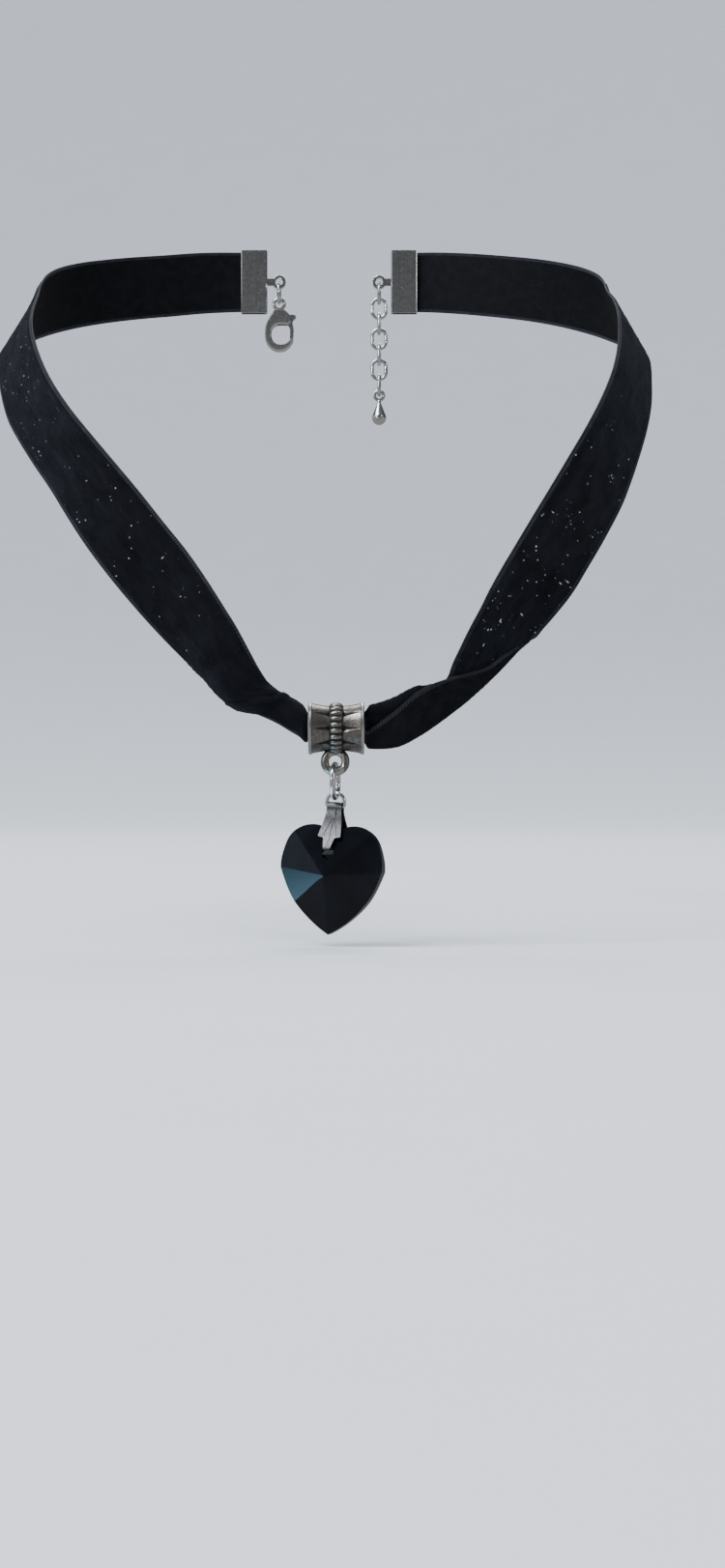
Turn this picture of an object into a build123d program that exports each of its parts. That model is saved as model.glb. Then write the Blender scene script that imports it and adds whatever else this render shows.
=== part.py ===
from build123d import *
import os
from math import sin, cos, radians

# A ribbon choker with a heart pendant.  Millimetres, +Z up, -Y is the wearer's front
# and +X the wearer's left.  Pieces called left and right are named as seen from the
# front, so the left ones are towards -X.
# Origin: the middle of the bail tube that the ribbon passes through.

os.makedirs("parts", exist_ok=True)

# ---------------------------------------------------------------- driving dimensions
# ribbon
RIBBON_WIDTH = 13.0
RIBBON_THICK = 1.2           # backing plus pile

# bail (cast tube with a hanging loop)
TUBE_LEN = 9.2
TUBE_END_R = 4.33            # outer radius at the two rims
TUBE_NECK_R = 4.16           # beside the rims' raised collars
TUBE_WAIST_R = 3.66          # outer radius in the middle
TUBE_BORE_R = 2.9
COLLAR_W = 0.50              # width of a raised collar
COLLAR_SLOPE = 0.12          # its fall to the neck, along the tube
RIM_BEVEL = 0.15
BORE_BEVEL = 0.12
SEAT_W = 2.2                 # raised band under the bead row
SEAT_H = 0.76
SEAT_R = 3.53                # radius of the band section's middle
SEAT_CORNER_R = 0.12
ROPE_R = 3.84                # radius of the bead row's centre line
BEAD_COUNT = 24
BEAD_R = 0.46
BEAD_HALF_LEN = 1.0
WEDGES_PER_SIDE = 9
WEDGE_FIRST_ANGLE = 38.5     # above the front, degrees
WEDGE_WIDE_X = 1.0           # the wide end, beside the bead row
WEDGE_VALLEY_R = 3.22        # valley radius at the wide end
WEDGE_MOUTH_R = 4.9          # mouth radius and half width at the wide end
WEDGE_MOUTH_HALF_W = 3.0
WEDGE_TIP_X = 3.95           # where the groove runs out
WEDGE_TIP_R = 4.14
LOOP_X = -0.2
LOOP_Z = -5.49
LOOP_MAJOR = 1.7
LOOP_MINOR = 0.7

# round jump ring under the bail
JUMP_MAJOR = 2.75
JUMP_WIRE = 0.45             # wire radius
JUMP_Z = -8.68
JUMP_YAW = -9.0
JUMP_GAP_ANGLE = 35          # its joint, above the horizontal at the back
JUMP_ARC = 358.4

# D shaped wire ring of the pinch bail
DRING_WIRE = 0.30            # wire radius
DRING_HALF = 1.53            # half the distance between its side wires
DRING_TOP_Z = -10.63
DRING_BAR_Z = -12.90
DRING_CORNER_R = 0.5
DRING_HALF_GAP = 0.03        # half the gap between the wire's ends

# pendant frame: yaw about the vertical and a slight lean
PEND_YAW = -19.5
PEND_LEAN = 2.8
PEND_X = -0.15

# stamped pinch bail (heights are below the D ring's bar)
SHEET = 0.40
FOLD_R_IN = 0.38
FOLD_R_OUT = FOLD_R_IN + SHEET
BLADE_HALF_W = 2.2           # half width of the blank before it is trimmed
RIB_HEIGHT = 0.11            # how far the ribs stand out of the sheet
PIN_HALF_W = 0.50
PIN_INNER = 1.60             # how near the pins' ends come to the middle plane
PIN_TOP_Z = -6.79
PIN_FOOT_Z = -7.10

# faceted heart (heights are below the D ring's bar)
HEART_HALF_W = 8.85
HEART_HOLE_Z = -7.60
HEART_HOLE_R = 1.0
HEART_APEX_Z = -11.18
HEART_APEX_T = 4.6           # half thickness at the apex
HEART_TIP_Z = -21.10
HEART_BLANK_T = 6            # half thickness before the facets are cut

# closure at the back of the neck
END_Y = 118.0
END_Z = 100.6
LEFT_END_X = -17.0
RIGHT_END_X = 11.0
WIRE_PLAY = 0.05             # clearance between hanging wires

CRIMP_W = 13.6
CRIMP_DEPTH = 5.2
CRIMP_SHEET = 0.45
CRIMP_GAP = 0.63             # half of the slot that grips the ribbon
CRIMP_END_GAP = 0.02         # between the ribbon's end and the closed edge
CRIMP_EDGE = CRIMP_END_GAP + CRIMP_SHEET   # closed edge beyond the ribbon's end
CRIMP_BEVEL = 0.25           # at the closed edge
CRIMP_CORNER_R = 0.16
GROOVE_PLACES = (1.6, 3.4)   # pressed grooves, back from the ribbon's end
GROOVE_W = 0.55
GROOVE_DEPTH = 0.12
GROOVE_SHORTER = 2.0         # how much shorter a groove is than the crimp
CRIMP_EYE_R = 1.5
CRIMP_HOLE_R = 0.8
CRIMP_EYE_OUT = 2.6          # eye centre beyond the crimp's closed edge
CRIMP_EYE_HALF_T = 0.42
CRIMP_EYE_ROUND = 0.15
CRIMP_HOLE_BEVEL = 0.12
EYE_NECK_BACK = 1.65         # middle of the neck, back from the eye's centre
EYE_NECK_LEN = 2.3
EYE_NECK_W = 1.5

BACK_RING_MAJOR = 2.1        # small jump rings at the back
BACK_RING_WIRE = 0.4
BACK_RING_DROP = 2.37        # ring centre below the crimp's eye
BACK_RING_GAP_ANGLE = 20     # its joint, above the horizontal at the front
BACK_RING_ARC = 358.0

CLASP_EYE_MAJOR = 1.15
CLASP_EYE_WIRE = 0.4
CLASP_HALF_T = 1.25
CLASP_BEVEL = 0.28
SLOT_HALF = 0.65             # half width of the slot for the lever
TRIGGER_HALF_T = 0.55
SPRING_HALF_T = 0.4
RIVET = (1.2, -3.5)          # from the middle of the clasp's eye
RIVET_R = 0.38
RIVET_BODY_HOLE_R = 0.40
RIVET_TRIGGER_HOLE_R = 0.45
RIVET_HALF_LEN = 1.27        # shank only
RIVET_HEAD_R = 0.55
RIVET_HEAD_T = 0.18

LINK_HALF_LEN = 2.1          # centre line half length of an extender link
LINK_HALF_W = 1.5
LINK_WIRE = 0.4
LINK_COUNT = 6
LINK_HALF_GAP = 0.02         # half the gap between a link's ends
LINK_STEP = 2 * LINK_HALF_LEN - 2 * LINK_WIRE - WIRE_PLAY

DROP_EYE_MAJOR = 1.0
DROP_EYE_WIRE = 0.35
DROP_NECK_R = 0.42
DROP_NECK_FOOT_Z = -1.7      # from the middle of the drop's eye
DROP_R = 1.55
DROP_BALL_Z = -4.9
DROP_JOIN_ANGLE = 15         # where the cone meets the ball, above its equator


# ---------------------------------------------------------------- helpers
def save(part, name):
    part.label = name
    export_step(part, f"parts/{name}.step")


def wire_ring(centre, major, wire, gap_dir, arc, yaw=0.0):
    """Round wire ring about X, turned by yaw, with its butt joint towards gap_dir."""
    axis_dir = Vector(1, 0, 0).rotate(Axis.Z, yaw)
    gap_dir = gap_dir.rotate(Axis.Z, yaw)
    with BuildPart() as ring:
        with BuildSketch(Plane(origin=centre, x_dir=gap_dir, z_dir=gap_dir.cross(axis_dir))):
            with Locations((major, 0)):
                Circle(wire)
        revolve(axis=Axis(centre, axis_dir), revolution_arc=arc)
    return ring.part


# ---------------------------------------------------------------- velvet ribbon
# Stations from the crimp at -X, down over the chest, through the bail, and up to the
# crimp at +X.  Flat around the neck, gathered to a bunch inside the bail.
# Columns: x, y, z of the middle; direction across the ribbon; width; thickness.
STATIONS = [
    ( -22.60, 118.00, 100.60,   0.000,  0.000,  1.000,  13.00, 1.20),
    ( -26.20, 117.10, 100.35,  -0.040, -0.045,  0.998,  13.00, 1.20),
    ( -30.90, 115.00,  99.68,  -0.088, -0.105,  0.990,  13.00, 1.20),
    ( -37.48, 111.10,  98.25,  -0.104, -0.157,  0.982,  13.00, 1.20),
    ( -44.03, 106.71,  96.73,  -0.104, -0.206,  0.973,  13.00, 1.20),
    ( -49.76, 101.38,  94.87,  -0.095, -0.252,  0.963,  13.00, 1.20),
    ( -54.45,  95.24,  92.69,  -0.068, -0.300,  0.952,  13.00, 1.20),
    ( -57.94,  88.46,  90.19,   0.015, -0.360,  0.933,  13.00, 1.20),
    ( -60.29,  81.32,  87.36,   0.147, -0.412,  0.899,  13.00, 1.20),
    ( -61.62,  74.09,  84.18,   0.317, -0.422,  0.849,  13.00, 1.20),
    ( -62.18,  66.79,  80.94,   0.480, -0.360,  0.800,  13.00, 1.20),
    ( -62.15,  59.40,  77.84,   0.571, -0.302,  0.763,  13.00, 1.20),
    ( -61.40,  52.25,  74.37,   0.588, -0.313,  0.746,  13.00, 1.20),
    ( -59.95,  45.51,  70.26,   0.545, -0.365,  0.755,  13.00, 1.20),
    ( -58.17,  39.15,  65.73,   0.531, -0.393,  0.750,  13.00, 1.20),
    ( -56.00,  32.96,  61.15,   0.510, -0.365,  0.779,  13.00, 1.20),
    ( -53.26,  26.97,  56.61,   0.490, -0.383,  0.783,  13.00, 1.20),
    ( -49.93,  21.60,  51.70,   0.508, -0.392,  0.767,  13.00, 1.20),
    ( -46.16,  16.67,  46.65,   0.550, -0.382,  0.743,  13.00, 1.20),
    ( -42.08,  12.57,  41.13,   0.651, -0.314,  0.691,  13.00, 1.20),
    ( -37.68,   9.25,  35.34,   0.742, -0.161,  0.650,  13.00, 1.20),
    ( -33.91,   7.10,  30.50,   0.755, -0.110,  0.646,  13.00, 1.20),
    ( -29.95,   5.35,  25.65,   0.736, -0.173,  0.655,  13.00, 1.20),
    ( -25.97,   4.00,  20.70,   0.703, -0.316,  0.637,  12.71, 1.23),
    ( -21.97,   2.87,  15.70,   0.653, -0.432,  0.622,  11.83, 1.32),
    ( -19.79,   2.27,  13.02,   0.636, -0.454,  0.624,  10.92, 1.43),
    ( -17.60,   1.67,  10.37,   0.624, -0.463,  0.630,   9.73, 1.58),
    ( -15.33,   1.09,   7.76,   0.604, -0.465,  0.648,   8.48, 1.74),
    ( -12.82,   0.70,   5.34,   0.519, -0.503,  0.691,   7.04, 2.02),
    (  -9.91,   0.73,   3.41,   0.432, -0.615,  0.660,   5.52, 2.37),
    (  -8.12,   0.66,   2.14,   0.464, -0.566,  0.682,   5.29, 2.43),
    (  -6.40,   0.29,   0.79,   0.398, -0.518,  0.757,   5.09, 2.48),
    (  -4.40,  -0.01,   0.00,   0.091, -0.449,  0.889,   4.69, 2.58),
    (  -2.20,   0.00,   0.00,  -0.023, -0.300,  0.954,   4.60, 2.60),
    (   0.00,   0.00,   0.00,   0.007, -0.153,  0.988,   4.60, 2.60),
    (   2.20,   0.00,   0.00,   0.001, -0.053,  0.999,   4.60, 2.60),
    (   4.40,  -0.00,  -0.00,  -0.012, -0.005,  1.000,   4.69, 2.58),
    (   6.58,   0.06,   0.25,  -0.256,  0.041,  0.966,   5.15, 2.46),
    (   8.68,   0.28,   0.85,  -0.289, -0.074,  0.954,   6.09, 2.24),
    (  10.69,   0.75,   1.59,  -0.312, -0.242,  0.919,   6.50, 2.15),
    (  13.77,   1.75,   2.96,  -0.241, -0.461,  0.854,   7.04, 2.02),
    (  16.76,   2.71,   4.52,  -0.237, -0.657,  0.716,   7.72, 1.87),
    (  19.41,   3.59,   6.62,  -0.313, -0.746,  0.587,   8.65, 1.72),
    (  21.65,   4.41,   9.19,  -0.389, -0.763,  0.516,   9.75, 1.58),
    (  23.60,   5.25,  11.98,  -0.437, -0.723,  0.535,  10.88, 1.44),
    (  27.27,   7.15,  16.99,  -0.482, -0.604,  0.634,  12.44, 1.26),
    (  31.13,   9.28,  21.77,  -0.622, -0.391,  0.678,  12.93, 1.21),
    (  34.73,  11.52,  26.70,  -0.760, -0.236,  0.605,  13.00, 1.20),
    (  37.91,  13.97,  31.81,  -0.790, -0.195,  0.582,  13.00, 1.20),
    (  41.65,  17.53,  37.91,  -0.781, -0.191,  0.594,  13.00, 1.20),
    (  45.17,  21.46,  43.93,  -0.749, -0.271,  0.605,  13.00, 1.20),
    (  48.23,  26.01,  49.75,  -0.643, -0.387,  0.661,  13.00, 1.20),
    (  50.77,  31.26,  55.23,  -0.561, -0.447,  0.697,  13.00, 1.20),
    (  52.83,  36.91,  60.51,  -0.535, -0.466,  0.705,  13.00, 1.20),
    (  54.29,  42.87,  65.62,  -0.553, -0.467,  0.690,  13.00, 1.20),
    (  55.13,  49.08,  70.61,  -0.569, -0.475,  0.672,  13.00, 1.20),
    (  55.60,  55.47,  75.47,  -0.565, -0.457,  0.687,  13.00, 1.20),
    (  55.25,  62.43,  79.29,  -0.523, -0.385,  0.761,  13.00, 1.20),
    (  54.41,  69.86,  82.23,  -0.420, -0.368,  0.830,  13.00, 1.20),
    (  53.66,  77.24,  85.24,  -0.246, -0.400,  0.883,  13.00, 1.20),
    (  52.07,  84.46,  88.22,  -0.083, -0.399,  0.913,  13.00, 1.20),
    (  49.19,  91.42,  91.01,   0.042, -0.347,  0.937,  13.00, 1.20),
    (  45.25,  97.99,  93.54,   0.098, -0.289,  0.952,  13.00, 1.20),
    (  40.35, 103.97,  95.74,   0.113, -0.239,  0.964,  13.00, 1.20),
    (  34.45, 109.05,  97.55,   0.112, -0.185,  0.976,  13.00, 1.20),
    (  25.30, 114.85,  99.62,   0.088, -0.110,  0.990,  13.00, 1.20),
    (  20.40, 117.00, 100.33,   0.045, -0.050,  0.998,  13.00, 1.20),
    (  16.60, 118.00, 100.60,   0.000,  0.000,  1.000,  13.00, 1.20),
]


def station_plane(i):
    """Plane square to the ribbon at station i, its x direction across the ribbon."""
    if i in (0, len(STATIONS) - 1):
        along = Vector(1, 0, 0)          # square to the straight ends
    else:
        along = Vector(*STATIONS[i + 1][:3]) - Vector(*STATIONS[i - 1][:3])
        along = along.normalized()
    across = Vector(*STATIONS[i][3:6])
    across = (across - along * across.dot(along)).normalized()
    return Plane(origin=STATIONS[i][:3], x_dir=across, z_dir=along)


def velvet_ribbon():
    with BuildPart() as ribbon:
        for i, station in enumerate(STATIONS):
            with BuildSketch(station_plane(i)):
                Rectangle(station[6], station[7])
        loft()
        # straight ends inside the crimps
        for station, end_x in ((STATIONS[0], LEFT_END_X), (STATIONS[-1], RIGHT_END_X)):
            with BuildSketch(Plane(origin=station[:3], x_dir=(0, 0, 1), z_dir=(1, 0, 0))):
                Rectangle(RIBBON_WIDTH, RIBBON_THICK)
            extrude(amount=end_x - station[0])
    return ribbon.part


save(velvet_ribbon(), "velvet_ribbon")


# ---------------------------------------------------------------- ribbon crimps
def circles_of_radius(edges, radius):
    return edges.filter_by(GeomType.CIRCLE).filter_by(lambda e: abs(e.radius - radius) < 1e-6)


def ribbon_crimp(end_x, s):
    """Stamped channel folded over a ribbon end, with an eye beyond its closed edge.

    end_x: the ribbon's end.  s: +1 when the eye points to +X, -1 to -X.
    """
    out = CRIMP_GAP + CRIMP_SHEET
    eye_x = end_x + s * (CRIMP_EDGE + CRIMP_EYE_OUT)
    with BuildPart() as crimp:
        # channel section in the horizontal plane
        with BuildSketch(Plane((end_x, END_Y, END_Z - CRIMP_W / 2))):
            with BuildLine():
                Polyline(
                    (-s * CRIMP_DEPTH, CRIMP_GAP),
                    (s * CRIMP_END_GAP, CRIMP_GAP),
                    (s * CRIMP_END_GAP, -CRIMP_GAP),
                    (-s * CRIMP_DEPTH, -CRIMP_GAP),
                    (-s * CRIMP_DEPTH, -out + 0.12),
                    (-s * (CRIMP_DEPTH - 0.2), -out),
                    (s * (CRIMP_EDGE - CRIMP_BEVEL), -out),
                    (s * CRIMP_EDGE, -out + CRIMP_BEVEL),
                    (s * CRIMP_EDGE, out - CRIMP_BEVEL),
                    (s * (CRIMP_EDGE - CRIMP_BEVEL), out),
                    (-s * (CRIMP_DEPTH - 0.2), out),
                    (-s * CRIMP_DEPTH, out - 0.12),
                    close=True,
                )
            make_face()
        extrude(amount=CRIMP_W)
        # rounded top and bottom corners of the stamped blank
        for group in (-1, 0):
            fillet(
                crimp.edges().filter_by(Axis.Y).group_by(Axis.Z)[group],
                radius=CRIMP_CORNER_R,
            )
        # two pressed grooves along each jaw
        for side in (-1, 1):
            jaw_face = Plane(
                origin=(end_x, END_Y + side * out, END_Z), x_dir=(1, 0, 0), z_dir=(0, -side, 0)
            )
            with BuildSketch(jaw_face):
                for place in GROOVE_PLACES:
                    with Locations((-s * place, 0)):
                        SlotOverall(CRIMP_W - GROOVE_SHORTER, GROOVE_W, rotation=90)
            extrude(amount=GROOVE_DEPTH, mode=Mode.SUBTRACT)
        # eye
        with BuildSketch(Plane(origin=(eye_x, END_Y, END_Z), x_dir=(1, 0, 0), z_dir=(0, -1, 0))):
            Circle(CRIMP_EYE_R)
            with Locations((-s * EYE_NECK_BACK, 0)):
                Rectangle(EYE_NECK_LEN, EYE_NECK_W)
            Circle(CRIMP_HOLE_R, mode=Mode.SUBTRACT)
        extrude(amount=CRIMP_EYE_HALF_T, both=True)
        fillet(circles_of_radius(crimp.edges(), CRIMP_EYE_R), radius=CRIMP_EYE_ROUND)
        # eased mouth of the hole, so the ring's wire can swing in it
        chamfer(circles_of_radius(crimp.edges(), CRIMP_HOLE_R), length=CRIMP_HOLE_BEVEL)
    return crimp.part


save(ribbon_crimp(LEFT_END_X, 1), "left_ribbon_crimp")
save(ribbon_crimp(RIGHT_END_X, -1), "right_ribbon_crimp")


# ---------------------------------------------------------------- bail
def rope_bead():
    """Ellipsoid, long along X."""
    with BuildPart() as bead:
        with BuildSketch(Plane.XZ):
            with BuildLine():
                EllipticalCenterArc((0, 0), BEAD_HALF_LEN, BEAD_R, start_angle=0, arc_size=180)
                Line((-BEAD_HALF_LEN, 0), (BEAD_HALF_LEN, 0))
            make_face()
        revolve(axis=Axis.X)
    return bead.part


def bead_locations():
    spots = []
    for i in range(BEAD_COUNT):
        angle = 360 / BEAD_COUNT * (i + 0.5)
        if abs(angle - 270) < 10:
            continue             # the loop grows out of the row here
        y = ROPE_R * cos(radians(angle))
        z = ROPE_R * sin(radians(angle))
        spots.append(Location((0, y, z), (90 + angle, 0, 0)))
    return spots


def tetrahedron(a, b, c, d):
    corners = ((a, b, c), (a, b, d), (b, c, d), (c, a, d))
    return Solid(Shell([Face(Wire.make_polygon(list(three))) for three in corners]))


def wedge(side, angle):
    """V groove cutter that narrows and runs out towards the rim on the given side."""
    outward = Vector(0, -cos(angle), sin(angle))
    sideways = Vector(0, sin(angle), cos(angle))
    wide_end = Vector(side * WEDGE_WIDE_X, 0, 0)
    mouth = wide_end + outward * WEDGE_MOUTH_R
    return tetrahedron(
        wide_end + outward * WEDGE_VALLEY_R,
        mouth + sideways * WEDGE_MOUTH_HALF_W,
        mouth - sideways * WEDGE_MOUTH_HALF_W,
        Vector(side * WEDGE_TIP_X, 0, 0) + outward * WEDGE_TIP_R,
    )


def waisted_bail():
    """Waisted tube along X with grooves, a row of beads and a cast loop underneath."""
    bead = rope_bead()
    wedges = []
    for side in (-1, 1):
        for i in range(WEDGES_PER_SIDE):
            angle = radians(WEDGE_FIRST_ANGLE - i * 360 / WEDGES_PER_SIDE)
            wedges.append(wedge(side, angle))
    end = TUBE_LEN / 2
    collar = end - COLLAR_W
    neck = collar - COLLAR_SLOPE
    with BuildPart() as bail:
        with BuildSketch(Plane.XZ):
            with BuildLine():
                Polyline(
                    (-end + BORE_BEVEL, TUBE_BORE_R),
                    (end - BORE_BEVEL, TUBE_BORE_R),
                    (end, TUBE_BORE_R + BORE_BEVEL),
                    (end, TUBE_END_R - RIM_BEVEL),
                    (end - RIM_BEVEL, TUBE_END_R),
                    (collar, TUBE_END_R),
                    (neck, TUBE_NECK_R),
                )
                ThreePointArc((neck, TUBE_NECK_R), (0, TUBE_WAIST_R), (-neck, TUBE_NECK_R))
                Polyline(
                    (-neck, TUBE_NECK_R),
                    (-collar, TUBE_END_R),
                    (-end + RIM_BEVEL, TUBE_END_R),
                    (-end, TUBE_END_R - RIM_BEVEL),
                    (-end, TUBE_BORE_R + BORE_BEVEL),
                    (-end + BORE_BEVEL, TUBE_BORE_R),
                )
            make_face()
        revolve(axis=Axis.X)
        for cutter in wedges:
            add(cutter, mode=Mode.SUBTRACT)
        # the seat of the bead row
        with BuildSketch(Plane.XZ):
            with Locations((0, SEAT_R)):
                RectangleRounded(SEAT_W, SEAT_H, SEAT_CORNER_R)
        revolve(axis=Axis.X)
        with Locations(*bead_locations()):
            add(bead)
        with Locations((LOOP_X, 0, LOOP_Z)):
            Torus(LOOP_MAJOR, LOOP_MINOR, rotation=(90, 0, 0))
    return bail.part


save(waisted_bail(), "bail")

# ---------------------------------------------------------------- jump ring under the bail
jump_gap = Vector(0, cos(radians(JUMP_GAP_ANGLE)), sin(radians(JUMP_GAP_ANGLE)))
save(
    wire_ring((LOOP_X, 0, JUMP_Z), JUMP_MAJOR, JUMP_WIRE, jump_gap, JUMP_ARC, yaw=JUMP_YAW),
    "jump_ring",
)

# ---------------------------------------------------------------- pendant frame
# Origin in the middle of the D ring's bar.
lean_cos, lean_sin = cos(radians(PEND_LEAN)), sin(radians(PEND_LEAN))
pend_x = Vector(lean_cos, 0, -lean_sin).rotate(Axis.Z, PEND_YAW)   # across the heart
pend_z = Vector(lean_sin, 0, lean_cos).rotate(Axis.Z, PEND_YAW)    # up the heart
pend_y = pend_z.cross(pend_x)                                      # towards its back
PEND_O = Vector(PEND_X, 0, DRING_BAR_Z)
front_plane = Plane(origin=PEND_O, x_dir=pend_x, z_dir=-pend_y)
side_plane = Plane(origin=PEND_O, x_dir=pend_y, z_dir=pend_x)


# ---------------------------------------------------------------- D shaped wire ring
def d_ring():
    """Its straight bar runs inside the fold of the pinch bail; the wire's ends meet there."""
    half = DRING_HALF
    corner = DRING_CORNER_R
    bend = 0.2929 * corner       # the corner arc's middle, in from the square corner
    arc_z = DRING_TOP_Z - DRING_BAR_Z - half
    with BuildPart() as ring:
        with BuildLine(front_plane) as path:
            Line((DRING_HALF_GAP, 0), (half - corner, 0))
            ThreePointArc((half - corner, 0), (half - bend, bend), (half, corner))
            Line((half, corner), (half, arc_z))
            ThreePointArc((half, arc_z), (0, arc_z + half), (-half, arc_z))
            Line((-half, arc_z), (-half, corner))
            ThreePointArc((-half, corner), (-half + bend, bend), (-half + corner, 0))
            Line((-half + corner, 0), (-DRING_HALF_GAP, 0))
        with BuildSketch(Plane(origin=path.line @ 0, z_dir=path.line % 0)):
            Circle(DRING_WIRE)
        sweep(path=path.line)
    return ring.part


save(d_ring(), "pinch_bail_ring")

# ---------------------------------------------------------------- pinch bail
# Middle line of one leaf seen from the side: distance from the middle plane, height.
LEAF_LINE = [(0.58, 0.0), (0.61, -0.9), (0.98, -2.3), (1.75, -4.0), (2.62, -5.55), (3.28, -6.62)]


def leaf_line(side, distance):
    """The leaf's line moved outward by distance, on the back (+1) or front (-1) side."""
    points = []
    for i, (x, z) in enumerate(LEAF_LINE):
        before = LEAF_LINE[max(i - 1, 0)]
        after = LEAF_LINE[min(i + 1, len(LEAF_LINE) - 1)]
        normal = Vector(before[1] - after[1], after[0] - before[0], 0).normalized()
        points.append((side * (x + normal.X * distance), z + normal.Y * distance))
    return points


def leaf_ribs():
    """Raised pad and three ribs on each leaf."""
    with BuildPart() as ribs:
        with BuildSketch(side_plane):
            for side in (-1, 1):
                with BuildLine():
                    inner = leaf_line(side, 0.0)
                    outer = leaf_line(side, SHEET / 2 + RIB_HEIGHT)
                    Spline(*inner)
                    Spline(*outer)
                    Line(inner[0], outer[0])
                    Line(inner[-1], outer[-1])
                make_face()
        extrude(amount=BLADE_HALF_W, both=True)
        with BuildSketch(front_plane):
            with Locations((0, -1.15)):
                RectangleRounded(0.92, 1.7, 0.1)
            Polygon((-0.10, -2.25), (0.10, -2.25), (0.10, -6.3), (-0.10, -6.3), align=None)
            Polygon((-0.42, -2.25), (-0.24, -2.25), (-1.02, -4.55), (-1.20, -4.55), align=None)
            Polygon((0.24, -2.25), (0.42, -2.25), (1.20, -4.55), (1.02, -4.55), align=None)
        extrude(amount=5, both=True, mode=Mode.INTERSECT)
    return ribs.part


def folded_pinch_bail():
    """One blade folded over the ring's bar: two trident shaped leaves that spread over
    the heart, their tips bent in as pins that enter its hole."""
    ribs = leaf_ribs()
    with BuildPart() as blade:
        with BuildSketch(side_plane):
            Circle(FOLD_R_OUT)
            Circle(FOLD_R_IN, mode=Mode.SUBTRACT)
            with Locations((0, -1.0)):
                Rectangle(3, 2, mode=Mode.SUBTRACT)
            for side in (-1, 1):
                with BuildLine():
                    inner = leaf_line(side, -SHEET / 2)
                    outer = leaf_line(side, SHEET / 2)
                    Spline(*inner)
                    Spline(*outer)
                    Line(inner[0], outer[0])
                    Polyline(
                        inner[-1],
                        (side * 2.98, PIN_TOP_Z),
                        (side * PIN_INNER, PIN_TOP_Z),
                        (side * PIN_INNER, PIN_FOOT_Z),
                        (side * 3.30, PIN_FOOT_Z),
                    )
                    ThreePointArc((side * 3.30, PIN_FOOT_Z), (side * 3.50, -6.98), outer[-1])
                make_face()
        extrude(amount=BLADE_HALF_W, both=True)
        # trim to the front outline
        with BuildSketch(front_plane):
            Polygon(
                (-1.27, 1.2), (-1.27, -0.9), (-1.95, -4.72), (-1.9, -4.86), (-0.98, -5.08),
                (-0.60, -6.75), (-PIN_HALF_W, -6.9), (-PIN_HALF_W, -7.3),
                (PIN_HALF_W, -7.3), (PIN_HALF_W, -6.9), (0.60, -6.75),
                (0.98, -5.08), (1.9, -4.86), (1.95, -4.72), (1.27, -0.9), (1.27, 1.2),
                align=None,
            )
        extrude(amount=6, both=True, mode=Mode.INTERSECT)
        add(ribs)
    return blade.part


save(folded_pinch_bail(), "pinch_bail")

# ---------------------------------------------------------------- heart drop
# Facet corners on the outline: x, height.
CLEFT = (0, -5.50)
SHOULDER = (6.72, -4.30)
SIDE = (HEART_HALF_W, -10.40)
LOW = (6.10, -16.00)
TIP = (0, HEART_TIP_Z)

# The +x half of the outline, bulging a little past the chords between the corners.
HEART_CURVES = [
    (CLEFT, (0.75, -4.45), (1.9, -3.50), (3.4, -3.06), (5.0, -3.28), SHOULDER),
    (SHOULDER, (7.75, -5.45), (8.50, -7.30), (8.86, -9.10), SIDE),
    (SIDE, (8.05, -12.6), (7.12, -14.5), LOW),
    (LOW, (4.55, -17.75), (2.45, -19.55), TIP),
]
# Corner and the half thickness of the facets there.
FACET_CORNERS = [(CLEFT, 1.90), (SHOULDER, 0.90), (SIDE, 0.95), (LOW, 0.95), (TIP, 0.90)]


def pendant_point(x, y, z):
    return PEND_O + pend_x * x + pend_y * y + pend_z * z


def facet_plane(face, side, corner_a, corner_b):
    """Plane through the apex and two corners, its normal out of the heart."""
    apex = pendant_point(0, face * HEART_APEX_T, HEART_APEX_Z)
    arms = []
    for (x, z), half_thick in (corner_a, corner_b):
        arms.append(pendant_point(side * x, face * half_thick, z) - apex)
    normal = arms[0].cross(arms[1]).normalized()
    if normal.dot(pend_y * face) < 0:
        normal = -normal
    return Plane(origin=apex, z_dir=normal)


def heart_drop():
    """Both faces are cut in flat facets that meet at an apex."""
    with BuildPart() as heart:
        with BuildSketch(front_plane):
            with BuildLine():
                for curve in HEART_CURVES:
                    Spline(*curve)
                mirror(about=Plane.YZ)
            make_face()
        extrude(amount=HEART_BLANK_T, both=True)
        for face in (-1, 1):
            for side in (-1, 1):
                for corner_a, corner_b in zip(FACET_CORNERS, FACET_CORNERS[1:]):
                    cut = facet_plane(face, side, corner_a, corner_b)
                    split(bisect_by=cut, keep=Keep.BOTTOM)
        with BuildSketch(front_plane):
            with Locations((0, HEART_HOLE_Z)):
                Circle(HEART_HOLE_R)
        extrude(amount=HEART_BLANK_T, both=True, mode=Mode.SUBTRACT)
    return heart.part


save(heart_drop(), "heart_drop")

# ---------------------------------------------------------------- small jump rings at the back
LEFT_EYE_X = LEFT_END_X + CRIMP_EDGE + CRIMP_EYE_OUT
RIGHT_EYE_X = RIGHT_END_X - CRIMP_EDGE - CRIMP_EYE_OUT
BACK_RING_Z = END_Z - BACK_RING_DROP
RING_FOOT_Z = BACK_RING_Z - BACK_RING_MAJOR      # wire's centre line at the foot

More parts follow.
